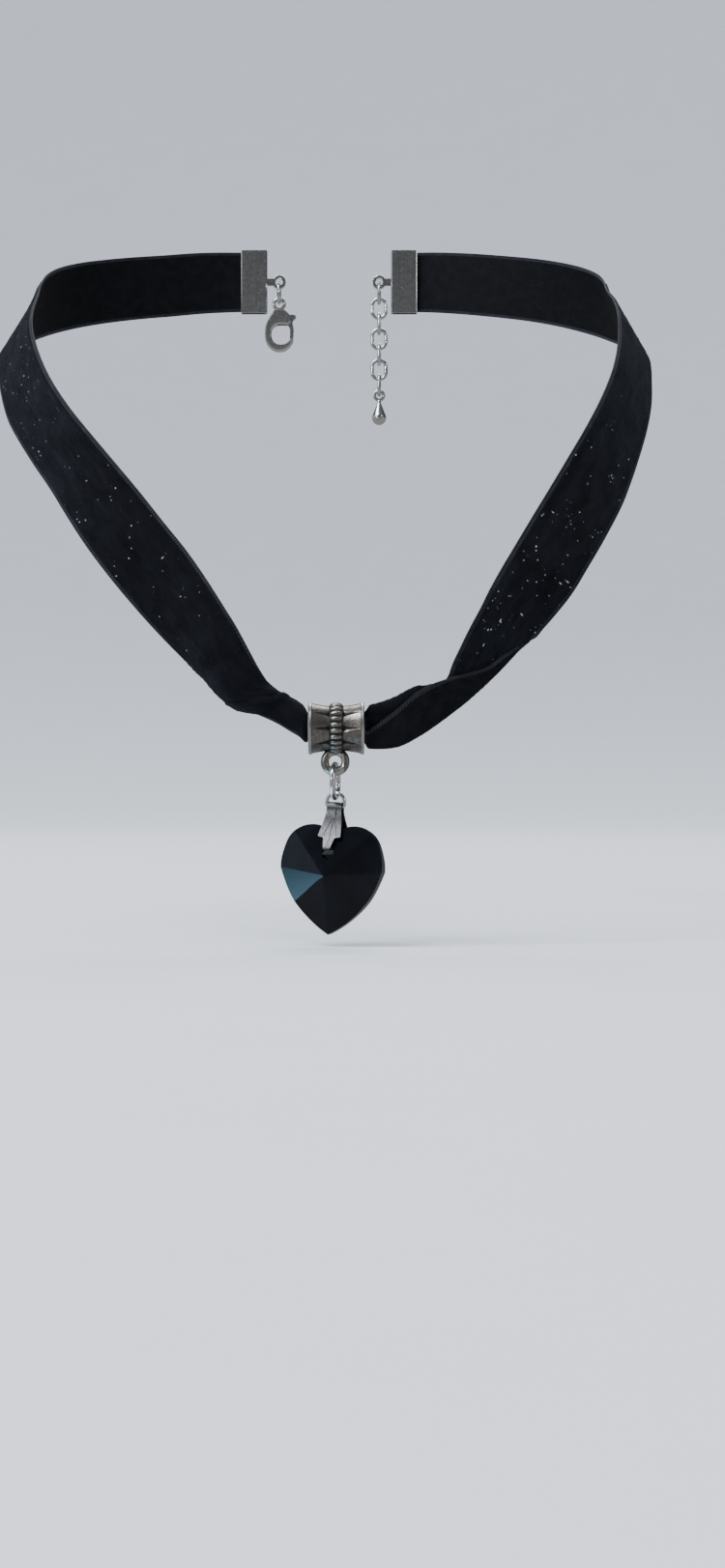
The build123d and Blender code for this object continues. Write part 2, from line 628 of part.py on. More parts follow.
back_gap = Vector(0, -cos(radians(BACK_RING_GAP_ANGLE)), sin(radians(BACK_RING_GAP_ANGLE)))
for name, eye_x in (("clasp_jump_ring", LEFT_EYE_X), ("extender_jump_ring", RIGHT_EYE_X)):
    centre = (eye_x, END_Y, BACK_RING_Z)
    save(wire_ring(centre, BACK_RING_MAJOR, BACK_RING_WIRE, back_gap, BACK_RING_ARC), name)

# ---------------------------------------------------------------- lobster clasp
# Hangs flat in an XZ plane.  Local origin: the middle of its eye.
CLASP_EYE_Z = RING_FOOT_Z + BACK_RING_WIRE + CLASP_EYE_WIRE + WIRE_PLAY - CLASP_EYE_MAJOR
CLASP_O = (LEFT_EYE_X, END_Y, CLASP_EYE_Z)
clasp_plane = Plane(origin=CLASP_O, x_dir=(1, 0, 0), z_dir=(0, -1, 0))


def lobster_body():
    with BuildPart() as body:
        with BuildSketch(clasp_plane):
            with BuildLine():
                # outside, from the eye round to the hook's tip
                Spline(
                    (-0.9, -1.25), (-1.75, -2.5), (-2.75, -4.5), (-3.15, -6.6), (-2.6, -8.8),
                    (-1.0, -10.2), (0.9, -10.3), (2.35, -9.35), (3.1, -7.85),
                )
                Line((3.1, -7.85), (2.3, -8.02))
                # inside of the hook
                Spline(
                    (2.3, -8.02), (1.85, -8.5), (0.6, -9.0), (-0.9, -8.6), (-1.65, -7.2),
                    (-1.55, -5.6), (-0.6, -4.7), (0.5, -4.52),
                )
                Line((0.5, -4.52), (2.15, -4.55))
                # shoulder over the rivet, back to the eye
                Spline((2.15, -4.55), (2.62, -3.4), (1.95, -2.05), (0.9, -1.25))
                Line((0.9, -1.25), (-0.9, -1.25))
            make_face()
        extrude(amount=CLASP_HALF_T, both=True)
        chamfer(body.faces().filter_by(Axis.Y).edges(), length=CLASP_BEVEL)
        # slot for the lever, open to the outside and into the hook
        with BuildSketch(clasp_plane):
            Polygon((-0.42, -2.02), (4.2, -2.02), (4.2, -5.2), (-0.42, -5.2), align=None)
        extrude(amount=SLOT_HALF, both=True, mode=Mode.SUBTRACT)
        with BuildSketch(clasp_plane):
            with Locations(RIVET):
                Circle(RIVET_BODY_HOLE_R)
        extrude(amount=2, both=True, mode=Mode.SUBTRACT)
        # eye
        with Locations(CLASP_O):
            Torus(CLASP_EYE_MAJOR, CLASP_EYE_WIRE, rotation=(90, 0, 0))
    return body.part


def lobster_trigger():
    with BuildPart() as trigger:
        with BuildSketch(clasp_plane):
            with BuildLine():
                # top of the thumb tab
                Spline((0.42, -3.05), (1.1, -2.62), (2.2, -2.42), (3.3, -2.42), (3.72, -2.75))
                # outside, down to the lever's tip
                Spline(
                    (3.72, -2.75), (3.55, -3.2), (3.0, -3.75), (3.12, -5.0), (3.16, -6.3),
                    (3.05, -7.62),
                )
                Line((3.05, -7.62), (2.36, -7.62))
                # inside, back up to the pivot
                Spline(
                    (2.36, -7.62), (2.4, -6.2), (2.22, -5.1), (1.6, -4.42), (0.62, -4.1)
                )
                Line((0.62, -4.1), (0.42, -3.05))
            make_face()
        extrude(amount=TRIGGER_HALF_T, both=True)
        with BuildSketch(clasp_plane):
            with Locations(RIVET):
                Circle(RIVET_TRIGGER_HOLE_R)
        extrude(amount=2, both=True, mode=Mode.SUBTRACT)
        # finger grooves on the thumb tab
        with BuildSketch(clasp_plane):
            with Locations((2.55, -2.36), (2.95, -2.34), (3.32, -2.4)):
                Circle(0.09)
        extrude(amount=1, both=True, mode=Mode.SUBTRACT)
    return trigger.part


def lobster_rivet():
    with BuildPart() as rivet:
        with BuildSketch(clasp_plane.offset(-RIVET_HALF_LEN)):
            with Locations(RIVET):
                Circle(RIVET_R)
        extrude(amount=2 * RIVET_HALF_LEN)
        for head_start in (-RIVET_HALF_LEN - RIVET_HEAD_T, RIVET_HALF_LEN):
            with BuildSketch(clasp_plane.offset(head_start)):
                with Locations(RIVET):
                    Circle(RIVET_HEAD_R)
            extrude(amount=RIVET_HEAD_T)
    return rivet.part


def lobster_spring():
    """Bent leaf spring between the slot's closed side and the lever."""
    with BuildPart() as spring:
        with BuildSketch(clasp_plane):
            with BuildLine():
                Polyline(
                    (-0.40, -4.40), (-0.40, -2.95), (-0.14, -2.60), (0.12, -2.95),
                    (0.34, -3.85), (0.22, -3.88), (0.00, -3.02), (-0.14, -2.82),
                    (-0.28, -3.0), (-0.28, -4.40), close=True,
                )
            make_face()
        extrude(amount=SPRING_HALF_T, both=True)
    return spring.part


save(lobster_body(), "lobster_body")
save(lobster_trigger(), "lobster_trigger")
save(lobster_rivet(), "lobster_rivet")
save(lobster_spring(), "lobster_spring")


# ---------------------------------------------------------------- extender chain
def extender_link(k):
    """Oval wire link, number k from the top, turned a quarter from the one above."""
    middle_z = RING_FOOT_Z - k * LINK_STEP + LINK_HALF_LEN
    across = Vector(1, 0, 0) if k % 2 else Vector(0, 1, 0)
    link_plane = Plane(
        origin=(RIGHT_EYE_X, END_Y, middle_z), x_dir=across, z_dir=across.cross(Vector(0, 0, 1))
    )
    half_w = LINK_HALF_W
    straight = LINK_HALF_LEN - half_w
    with BuildPart() as link:
        with BuildLine(link_plane) as oval:
            upper_side = Line((half_w, LINK_HALF_GAP), (half_w, straight))
            top = RadiusArc(upper_side @ 1, (-half_w, straight), -half_w)
            far_side = Line(top @ 1, (-half_w, -straight))
            foot = RadiusArc(far_side @ 1, (half_w, -straight), -half_w)
            Line(foot @ 1, (half_w, -LINK_HALF_GAP))
        with BuildSketch(Plane(origin=oval.line @ 0, z_dir=oval.line % 0)):
            Circle(LINK_WIRE)
        sweep(path=oval.line)
    return link.part


for k in range(1, LINK_COUNT + 1):
    save(extender_link(k), f"extender_link_{k}")


def end_drop():
    """Small turned drop hanging from the last link by its eye."""
    last_foot_z = RING_FOOT_Z - LINK_COUNT * LINK_STEP
    eye_z = last_foot_z + LINK_WIRE + DROP_EYE_WIRE + WIRE_PLAY - DROP_EYE_MAJOR
    centre = (RIGHT_EYE_X, END_Y, eye_z)
    join = radians(DROP_JOIN_ANGLE)
    with BuildPart() as drop:
        with BuildSketch(Plane(origin=centre, x_dir=(1, 0, 0), z_dir=(0, -1, 0))):
            with BuildLine():
                Polyline(
                    (0, -DROP_EYE_MAJOR),
                    (DROP_NECK_R, -DROP_EYE_MAJOR),
                    (DROP_NECK_R, DROP_NECK_FOOT_Z),
                    (DROP_R * cos(join), DROP_BALL_Z + DROP_R * sin(join)),
                )
                CenterArc((0, DROP_BALL_Z), DROP_R, DROP_JOIN_ANGLE, -90 - DROP_JOIN_ANGLE)
                Line((0, DROP_BALL_Z - DROP_R), (0, -DROP_EYE_MAJOR))
            make_face()
        revolve(axis=Axis(centre, (0, 0, 1)))
        with Locations(centre):
            Torus(DROP_EYE_MAJOR, DROP_EYE_WIRE, rotation=(90, 0, 0))
    return drop.part


save(end_drop(), "extender_drop")
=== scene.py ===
"""A choker: a dark velvet ribbon gathered through a silver bail, with a jet glass heart drop.

The bail's tube lies along X at the origin. The front faces -Y, and the ribbon climbs from both
rims of the tube towards +Y and +Z round the neck. CAD pieces, floor, lights and camera are in
metres, the ribbon's tables and maths in millimetres.
"""
import math

import bpy
import numpy as np
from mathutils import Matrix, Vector


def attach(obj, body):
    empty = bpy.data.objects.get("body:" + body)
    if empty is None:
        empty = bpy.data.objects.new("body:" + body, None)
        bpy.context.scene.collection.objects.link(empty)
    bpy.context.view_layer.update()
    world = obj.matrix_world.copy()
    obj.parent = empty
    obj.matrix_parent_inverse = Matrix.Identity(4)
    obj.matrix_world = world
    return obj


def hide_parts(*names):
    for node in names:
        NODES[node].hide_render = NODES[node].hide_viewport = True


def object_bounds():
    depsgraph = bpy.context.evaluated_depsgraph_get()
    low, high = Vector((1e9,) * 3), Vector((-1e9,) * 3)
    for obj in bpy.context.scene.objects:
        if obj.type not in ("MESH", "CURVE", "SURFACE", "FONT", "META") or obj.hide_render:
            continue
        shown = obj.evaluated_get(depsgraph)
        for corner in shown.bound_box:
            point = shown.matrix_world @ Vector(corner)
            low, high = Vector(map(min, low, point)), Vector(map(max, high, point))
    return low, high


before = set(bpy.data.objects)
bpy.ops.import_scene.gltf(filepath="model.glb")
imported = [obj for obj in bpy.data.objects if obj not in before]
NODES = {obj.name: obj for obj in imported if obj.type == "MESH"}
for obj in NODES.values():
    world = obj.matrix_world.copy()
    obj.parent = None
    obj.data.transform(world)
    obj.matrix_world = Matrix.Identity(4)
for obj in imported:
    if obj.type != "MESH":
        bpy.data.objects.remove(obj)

CAD_BOX = [list(corner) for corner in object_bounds()]
MM = 0.001
UV_UNIT = 10.0              # millimetres of ribbon in one unit of its UV map

# ------------------------------------------------------------------ ribbon tables, millimetres
HALF_WIDTH = 6.5
KEY_POINTS = 33             # points across each key section
BOWED_LENGTH = 12.9         # length across a neck section that is narrower than the ribbon
TABLE_PARTS = 3             # smooth steps between two rows of a fold table

# Flat stations: middle x y z, direction across towards the neck side edge, width.
NECK_LEFT = [
    (-17.00, 118.00, 100.60, 0.000, 0.000, 1.000, 13.00),
    (-20.00, 118.00, 100.60, 0.000, 0.000, 1.000, 13.00),
    (-22.60, 118.00, 100.60, 0.000, 0.000, 1.000, 13.00),
    (-26.20, 117.10, 100.35, -0.040, -0.045, 0.998, 13.00),
    (-30.90, 115.00, 99.68, -0.088, -0.105, 0.990, 13.00),
    (-37.48, 111.10, 98.25, -0.104, -0.157, 0.982, 13.00),
    (-44.03, 106.71, 96.73, -0.104, -0.206, 0.973, 13.00),
    (-49.76, 101.38, 94.87, -0.095, -0.252, 0.963, 13.00),
    (-54.45, 95.24, 92.69, -0.068, -0.300, 0.952, 13.00),
    (-57.94, 88.46, 90.19, 0.015, -0.360, 0.933, 13.00),
    (-60.29, 81.32, 87.36, 0.147, -0.412, 0.899, 13.00),
    (-61.62, 74.09, 84.18, 0.317, -0.422, 0.849, 13.00),
    (-62.18, 66.79, 80.94, 0.480, -0.360, 0.800, 13.00),
    (-62.15, 59.40, 77.84, 0.571, -0.302, 0.763, 13.00),
    (-61.40, 52.25, 74.37, 0.588, -0.313, 0.746, 13.00),
    (-59.95, 45.51, 70.26, 0.545, -0.365, 0.755, 13.00),
    (-58.17, 39.15, 65.73, 0.531, -0.393, 0.750, 13.00),
    (-56.00, 32.96, 61.15, 0.510, -0.365, 0.779, 13.00),
    (-53.26, 26.97, 56.61, 0.490, -0.383, 0.783, 13.00),
    (-49.93, 21.60, 51.70, 0.508, -0.392, 0.767, 13.00),
    (-46.16, 16.67, 46.65, 0.550, -0.382, 0.743, 13.00),
    (-42.08, 12.57, 41.13, 0.651, -0.314, 0.691, 13.00),
    (-37.68, 9.25, 35.34, 0.742, -0.161, 0.650, 13.00),
    (-33.91, 7.10, 30.50, 0.755, -0.110, 0.646, 13.00),
    (-29.95, 5.35, 25.65, 0.736, -0.173, 0.655, 13.00),
    (-25.97, 4.00, 20.70, 0.703, -0.316, 0.637, 12.71),
    (-21.97, 2.87, 15.70, 0.653, -0.432, 0.622, 11.83),
    (-19.79, 2.27, 13.02, 0.636, -0.454, 0.624, 10.92),
]
# Outer edge, neck side edge, direction in which the section bows, length across.
FOLD_LEFT = [
    (-21.84, 4.90, 8.43,  -14.22, -0.60, 12.54,  -0.40, -0.90, -0.10,  12.40),
    (-19.35, 3.80, 5.88,  -12.73, -0.20, 9.70,  -0.25, -0.95, 0.00,  12.00),
    (-17.35, 2.60, 4.18,  -11.26, 0.90, 7.36,  0.00, -0.97, 0.10,  11.20),
    (-14.54, 1.00, 3.01,  -9.96, 2.20, 5.50,  0.10, -0.92, 0.22,  10.40),
    (-11.92, -0.40, 1.89,  -8.96, 3.30, 3.61,  0.10, -0.72, 0.42,  9.40),
    (-9.59, -1.10, 0.78,  -7.59, 3.20, 1.84,  0.05, -0.34, 0.92,  10.30),
    (-7.44, -1.30, -0.51,  -6.20, 2.40, -0.42,  0.00, 0.00, 1.00,  12.90),
    (-5.77, -1.30, -1.54,  -5.46, 1.80, -1.72,  0.00, 0.00, 1.00,  13.80),
    (-5.00, -1.10, -2.25,  -5.00, 1.20, -2.10,  0.00, 0.00, 1.00,  13.20),
    (-4.50, -0.90, -2.05,  -4.50, 0.90, -2.05,  0.00, 0.00, 1.00,  12.40),
]
TUBE_STATIONS = (-2.3, 0.0, 2.3)    # x of the sections inside the tube
TUBE_BLEND = 4.6                    # one rim's section turns into the other's from -x to +x
# x y z of the section at the tube's right rim, from the neck side edge.
RIM_RIGHT = [
    (4.50, 1.20, -0.90), (4.50, 1.75, 0.70), (4.50, 0.70, 2.15),
    (4.50, -0.60, 1.75), (4.50, -0.75, 0.20), (4.50, -0.45, -1.45),
    (4.50, -0.90, -2.15), (4.50, -1.75, -1.65), (4.50, -2.10, -0.35),
]
# Top of the section, its lower fold, where the turned up edge lies between the two,
# how far the top rolls back, fold thickness.
FOLD_RIGHT = [
    (5.10, -0.10, 3.49,  5.10, -0.10, -3.29,  0.587, 1.000, 1.25),
    (6.37, -0.05, 3.74,  6.37, -0.05, -3.32,  0.470, 0.850, 1.20),
    (8.28, 0.15, 4.30,  8.28, 0.15, -3.28,  0.326, 0.620, 1.15),
    (10.36, 0.50, 5.19,  10.52, 0.50, -2.86,  0.208, 0.380, 1.10),
    (12.60, 0.70, 6.43,  13.09, 1.30, -1.57,  0.114, 0.200, 1.05),
    (15.24, 1.00, 7.27,  16.41, 2.60, 0.59,  0.030, 0.070, 1.00),
    (18.12, 1.30, 8.15,  21.24, 4.70, 4.26,  0.005, 0.000, 1.00),
    (19.25, 1.60, 10.75,  23.79, 6.40, 6.43,  0.400, 0.000, 0.95),
    (20.55, 1.90, 13.49,  26.14, 7.90, 8.64,  0.700, 0.000, 0.95),
    (22.31, 2.60, 17.06,  28.84, 9.40, 11.41,  0.835, 0.000, 0.95),
    (23.87, 3.20, 19.95,  31.02, 10.60, 13.66,  0.920, 0.000, 0.95),
    (25.22, 3.80, 22.70,  33.23, 11.60, 15.41,  1.000, 0.000, 0.95),
]
# Flat stations, columns as in NECK_LEFT.
NECK_RIGHT = [
    (31.13, 9.28, 21.77, -0.622, -0.391, 0.678, 12.93),
    (34.73, 11.52, 26.70, -0.760, -0.236, 0.605, 13.00),
    (37.91, 13.97, 31.81, -0.790, -0.195, 0.582, 13.00),
    (41.65, 17.53, 37.91, -0.781, -0.191, 0.594, 13.00),
    (45.17, 21.46, 43.93, -0.749, -0.271, 0.605, 13.00),
    (48.23, 26.01, 49.75, -0.643, -0.387, 0.661, 13.00),
    (50.77, 31.26, 55.23, -0.561, -0.447, 0.697, 13.00),
    (52.83, 36.91, 60.51, -0.535, -0.466, 0.705, 13.00),
    (54.29, 42.87, 65.62, -0.553, -0.467, 0.690, 13.00),
    (55.13, 49.08, 70.61, -0.569, -0.475, 0.672, 13.00),
    (55.60, 55.47, 75.47, -0.565, -0.457, 0.687, 13.00),
    (55.25, 62.43, 79.29, -0.523, -0.385, 0.761, 13.00),
    (54.41, 69.86, 82.23, -0.420, -0.368, 0.830, 13.00),
    (53.66, 77.24, 85.24, -0.246, -0.400, 0.883, 13.00),
    (52.07, 84.46, 88.22, -0.083, -0.399, 0.913, 13.00),
    (49.19, 91.42, 91.01, 0.042, -0.347, 0.937, 13.00),
    (45.25, 97.99, 93.54, 0.098, -0.289, 0.952, 13.00),
    (40.35, 103.97, 95.74, 0.113, -0.239, 0.964, 13.00),
    (34.45, 109.05, 97.55, 0.112, -0.185, 0.976, 13.00),
    (25.30, 114.85, 99.62, 0.088, -0.110, 0.990, 13.00),
    (20.40, 117.00, 100.33, 0.045, -0.050, 0.998, 13.00),
    (16.60, 118.00, 100.60, 0.000, 0.000, 1.000, 13.00),
    (14.00, 118.00, 100.60, 0.000, 0.000, 1.000, 13.00),
    (11.00, 118.00, 100.60, 0.000, 0.000, 1.000, 13.00),
]
# x z of the crease left of the bail, from the outer edge to the neck side corner.
CREASE = np.array([(-17.1, 4.6), (-14.7, 4.72), (-13.0, 5.12), (-10.9, 5.15), (-10.0, 5.35)])

# Mesh rows are closer together within FINE_REACH of the bail.
FINE_REACH = 42
FINE_STEP = 0.33
COARSE_STEP = 0.85
# Mesh columns: even in the middle, closer together over each woven edge.
EDGE_COLUMNS = np.array([6.5, 6.42, 6.2, 5.98, 5.86, 5.72, 5.5, 5.2])
COLUMNS = np.concatenate([-EDGE_COLUMNS, np.arange(-4.9, 4.91, 0.245), EDGE_COLUMNS[::-1]])
SELVEDGE_FROM = 5.9         # the woven edge starts this far from the middle

PILE, SELVEDGE, BACKING = range(3)      # the ribbon's material slots


# ------------------------------------------------------------------ curves
def unit(vectors):
    return vectors / np.maximum(np.linalg.norm(vectors, axis=-1, keepdims=True), 1e-12)


def limit(values):
    return np.clip(values, 0, 1)


def ease(t):
    return t * t * (3 - 2 * t)


def gaps(points):
    return np.linalg.norm(np.diff(points, axis=0), axis=1)


def running(steps):
    return np.concatenate([[0], np.cumsum(steps)])


def smooth_curve(keys, at, query):
    """Smooth curve through keys (first axis) known at the values at, read at query."""
    keys = np.asarray(keys, float)
    column = (-1,) + (1,) * (keys.ndim - 1)
    step = np.diff(at).reshape(column)
    slope = np.diff(keys, axis=0) / step
    tangent = np.empty_like(keys)
    tangent[1:-1] = (slope[:-1] * step[1:] + slope[1:] * step[:-1]) / (step[1:] + step[:-1])
    tangent[0], tangent[-1] = slope[0], slope[-1]
    k = np.clip(np.searchsorted(at, query, side="right") - 1, 0, len(at) - 2)
    step = (at[k + 1] - at[k]).reshape(column)
    t = ((query - at[k]) / (at[k + 1] - at[k])).reshape(column)
    t2, t3 = t * t, t * t * t
    return (
        (2 * t3 - 3 * t2 + 1) * keys[k]
        + (t3 - 2 * t2 + t) * step * tangent[k]
        + (-2 * t3 + 3 * t2) * keys[k + 1]
        + (t3 - t2) * step * tangent[k + 1]
    )


def arc_between(start, end, bulge, length):
    """KEY_POINTS points on an arc of the given length that bows towards bulge."""
    chord = end - start
    span = np.linalg.norm(chord)
    across = chord / span
    bow = unit(bulge - (bulge @ across) * across)
    ratio = min(span / length, 0.99999)
    low, high = 1e-4, math.pi - 1e-3
    for _ in range(60):                 # bisect for the half angle whose chord fits
        half = (low + high) / 2
        if math.sin(half) / half > ratio:
            low = half
        else:
            high = half
    half = (low + high) / 2
    radius = length / 2 / half
    t = np.linspace(-half, half, KEY_POINTS)[:, None]
    middle = (start + end) / 2
    return middle + across * radius * np.sin(t) + bow * radius * (np.cos(t) - math.cos(half))


def even_points(controls):
    """Smooth curve through the controls, as KEY_POINTS points an equal length apart."""
    points = np.asarray(controls, float)
    at = running(np.sqrt(np.maximum(gaps(points), 1e-4)))
    dense = smooth_curve(points, at, np.linspace(0, at[-1], 400))
    length = running(gaps(dense))
    query = np.linspace(0, length[-1], KEY_POINTS)
    return np.stack([np.interp(query, length, dense[:, k]) for k in range(3)], axis=1)


def subdivided(table):
    """The table's rows with smooth steps added between each two."""
    table = np.asarray(table, float)
    at = running(np.maximum(gaps(table[:, :3]), 0.4))
    query = [np.linspace(a, b, TABLE_PARTS, endpoint=False) for a, b in zip(at[:-1], at[1:])]
    return smooth_curve(table, at, np.concatenate(query + [[at[-1]]]))


# ------------------------------------------------------------------ key sections of the ribbon
def neck_sections(stations):
    """Each station as points across: straight at full width, bowed outwards where it narrows."""
    stations = np.array(stations)
    middles = stations[:, :3]
    ahead = np.vstack([middles[1:], 2 * middles[-1] - middles[-2]])
    sections = []
    for station, middle, following in zip(stations, middles, ahead):
        across, width = unit(station[3:6]), station[6]
        outer = middle - across * width / 2
        inner = middle + across * width / 2
        if width > 12.95:
            share = np.arange(KEY_POINTS)[:, None]
            section = outer + (inner - outer) * share / (KEY_POINTS - 1)
        else:
            outwards = np.cross(unit(following - middle), across)
            section = arc_between(outer, inner, outwards, BOWED_LENGTH)
        sections.append(section)
    return sections


def folded_section(row):
    """A section with its lower part turned up in front and its top rolled back."""
    top, low = row[:3], row[3:6]
    turned_edge, roll, thickness = row[6:9]
    height = np.linalg.norm(low - top)

    def at(share, forward):
        """A point this share of the way down, moved forward along -Y."""
        return top + (low - top) * share - np.array([0.0, forward, 0.0])

    rolled = min(1.0, max(roll, 0.0) / 0.25)
    points = [
        at((0.10 + 0.34 * roll) * rolled, -1.9 * rolled),
        at((0.08 + 0.10 * roll) * rolled + 0.002, -1.95 * rolled),
        at(0.004, -0.95 * rolled),
        at(0.006 + 0.10 * rolled, -0.05 * rolled),
    ]
    radius = thickness / 2 * min(1.0, max(1.0 - turned_edge, 0.0) / 0.16)
    bend = 1.0 - radius / height        # share at which the lower fold starts
    for f in (0.20, 0.38, 0.58, 0.78):
        points.append(at(0.10 * rolled + (bend - 0.10 * rolled) * f, 0.0))
    points.append(at(bend, 0.0))
    for degrees in (-50, 0, 50):
        angle = math.radians(degrees)
        share = bend + radius / height * math.cos(angle) + 0.001
        points.append(at(share, radius + radius * math.sin(angle)))
    end = min(turned_edge, bend - 0.004)
    for share in (bend, (bend + end) / 2, end):
        points.append(at(share, 2 * radius))
    return even_points(points)[::-1]


def tube_section(x, left, right):
    f = ease((x + TUBE_BLEND) / (2 * TUBE_BLEND))
    section = left * (1 - f) + right * f
    section[:, 0] = x
    return section


def key_sections():
    """Key sections from the left end to the right end, and the distance along at each.

    Distances are returned with the one at the middle of the bail.
    """
    left = [arc_between(r[0:3], r[3:6], r[6:9], r[9]) for r in subdivided(FOLD_LEFT)]
    right = [even_points(RIM_RIGHT)[::-1]]
    right += [folded_section(row) for row in subdivided(FOLD_RIGHT)]
    tube = [tube_section(x, left[-1], right[0]) for x in TUBE_STATIONS]
    necks = neck_sections(NECK_LEFT), neck_sections(NECK_RIGHT)
    sections = np.array(necks[0] + left + tube + right + necks[1])
    middles = sections.mean(axis=1)
    along = running(np.maximum(gaps(middles), 0.35))
    folds = slice(len(NECK_LEFT), -len(NECK_RIGHT))
    return sections, along, np.interp(0.0, middles[folds, 0], along[folds])


# ------------------------------------------------------------------ ribbon surface
def row_distances(end, bail):
    rows = []
    distance = 0.0
    while distance < end:
        rows.append(distance)
        distance += FINE_STEP if abs(distance - bail) < FINE_REACH else COARSE_STEP
    return np.array(rows + [end])


def surface_normals(grid):
    return unit(np.cross(np.gradient(grid, axis=0), np.gradient(grid, axis=1)))


def slack_waves(rows, along, across):
    """Long soft waves round the neck, still at the ribbon's ends and at the bail."""
    from_start = rows[:, None]
    from_end = rows[-1] - from_start
    calm = limit((np.abs(along) - 30) / 40)
    calm = calm * limit((from_start - 14) / 25) * limit((from_end - 14) / 25)
    long_wave = 0.30 * np.sin(along / 17.0 + 0.6) * (1 + 0.5 * across / HALF_WIDTH)
    short_wave = 0.16 * np.sin(along / 7.3 + 1.9) * np.sin(across / 4.1 + along / 31.0)
    return (long_wave + short_wave) * calm


def crease_distance(points):
    """Distance of x z points from the crease, and their height above it."""
    nearest = np.full(points.shape[:-1], 1e9)
    above = np.zeros(points.shape[:-1])
    for start, end in zip(CREASE[:-1], CREASE[1:]):
        run = end - start
        t = limit(((points - start) @ run) / (run @ run))
        foot = start + t[..., None] * run
        distance = np.linalg.norm(points - foot, axis=-1)
        closer = distance < nearest
        nearest = np.where(closer, distance, nearest)
        above = np.where(closer, points[..., 1] - foot[..., 1], above)
    return nearest, above


def crease_dent(grid, normals, along):
    """A narrow groove on the crease with a soft ridge below it."""
    distance, above = crease_distance(grid[..., [0, 2]])
    facing = (normals[..., 1] < 0.2) & (grid[..., 0] < -6) & (np.abs(along) < 34)
    groove = -0.42 * np.exp(-((distance / 0.42) ** 2))
    ridge = 0.28 * np.exp(-(((distance - 1.1) / 0.8) ** 2)) * (above < 0)
    return (groove + ridge) * facing


def thickened(grid, across):
    """Vertices of the pile side, then of the backing."""
    normals = surface_normals(grid)
    rng = np.random.default_rng(7)
    inside = ease(limit((5.98 - np.abs(across)) / 0.3))         # 0 on the woven edges
    # the pile is pressed in the tube
    packed = limit((5.4 - np.abs(grid[..., 0])) / 1.4) * limit(6.5 - np.abs(grid[..., 2]))
    pile = 0.13 + inside * (0.36 - 0.20 * packed)
    pile = pile + inside * 0.035 * rng.standard_normal(across.shape) * (1 - packed)
    under = 0.13 + 0.008 * rng.standard_normal(across.shape)
    front = grid + normals * pile[..., None]
    back = grid - normals * under[..., None]
    return np.concatenate([front.reshape(-1, 3), back.reshape(-1, 3)])


def squeeze_into_tube(verts):
    """Press the gathered ribbon into the tube's bore; it opens out again past the rims."""
    bore, rim, flare, softness = 2.76, 4.70, 2.0, 0.5
    away = np.hypot(verts[:, 1], verts[:, 2])
    free = bore + np.maximum(0.0, np.abs(verts[:, 0]) - rim) * flare - softness
    pressed = free + softness * (1 - np.exp(-np.maximum(away - free, 0.0) / softness))
    held = (away > free) & (np.abs(verts[:, 0]) < 6.6)
    verts[held, 1:] *= (pressed[held] / away[held])[:, None]


def ribbon_faces(row_count, column_count):
    """Faces, their material slots, and the grid point whose UV each corner takes."""
    count = row_count * column_count
    ids = np.arange(count).reshape(row_count, column_count)
    front, back = ids.tolist(), (ids + count).tolist()
    last = column_count - 1
    faces, slots = [], []

    def add(slot, *corners):
        faces.append(corners)
        slots.append(slot)

    for r in range(row_count - 1):
        f, f_next, b, b_next = front[r], front[r + 1], back[r], back[r + 1]
        for c in range(last):
            woven = abs((COLUMNS[c] + COLUMNS[c + 1]) / 2) > SELVEDGE_FROM
            add(SELVEDGE if woven else PILE, f[c], f_next[c], f_next[c + 1], f[c + 1])
            add(SELVEDGE if woven else BACKING, b[c], b[c + 1], b_next[c + 1], b_next[c])
    for r in range(row_count - 1):
        f, f_next, b, b_next = front[r], front[r + 1], back[r], back[r + 1]
        add(SELVEDGE, f[0], b[0], b_next[0], f_next[0])
        add(SELVEDGE, f[last], f_next[last], b_next[last], b[last])
    caps = len(faces)
    for c in range(last):
        add(BACKING, front[0][c], front[0][c + 1], back[0][c + 1], back[0][c])
        add(BACKING, front[-1][c], back[-1][c], back[-1][c + 1], front[-1][c + 1])
    uv_points = np.array(faces) % count
    uv_points[caps + 1::2] -= count - column_count      # both end caps use the first row's UVs
    return faces, slots, uv_points


def mesh_object(name, verts, faces, smooth=True):
    mesh = bpy.data.meshes.new(name)
    mesh.from_pydata([tuple(v) for v in verts], [], faces)
    mesh.update()
    if smooth:
        mesh.polygons.foreach_set("use_smooth", [True] * len(mesh.polygons))
    return linked_object(name, mesh)


def linked_object(name, data):
    made = bpy.data.objects.new(name, data)
    bpy.context.scene.collection.objects.link(made)
    return made


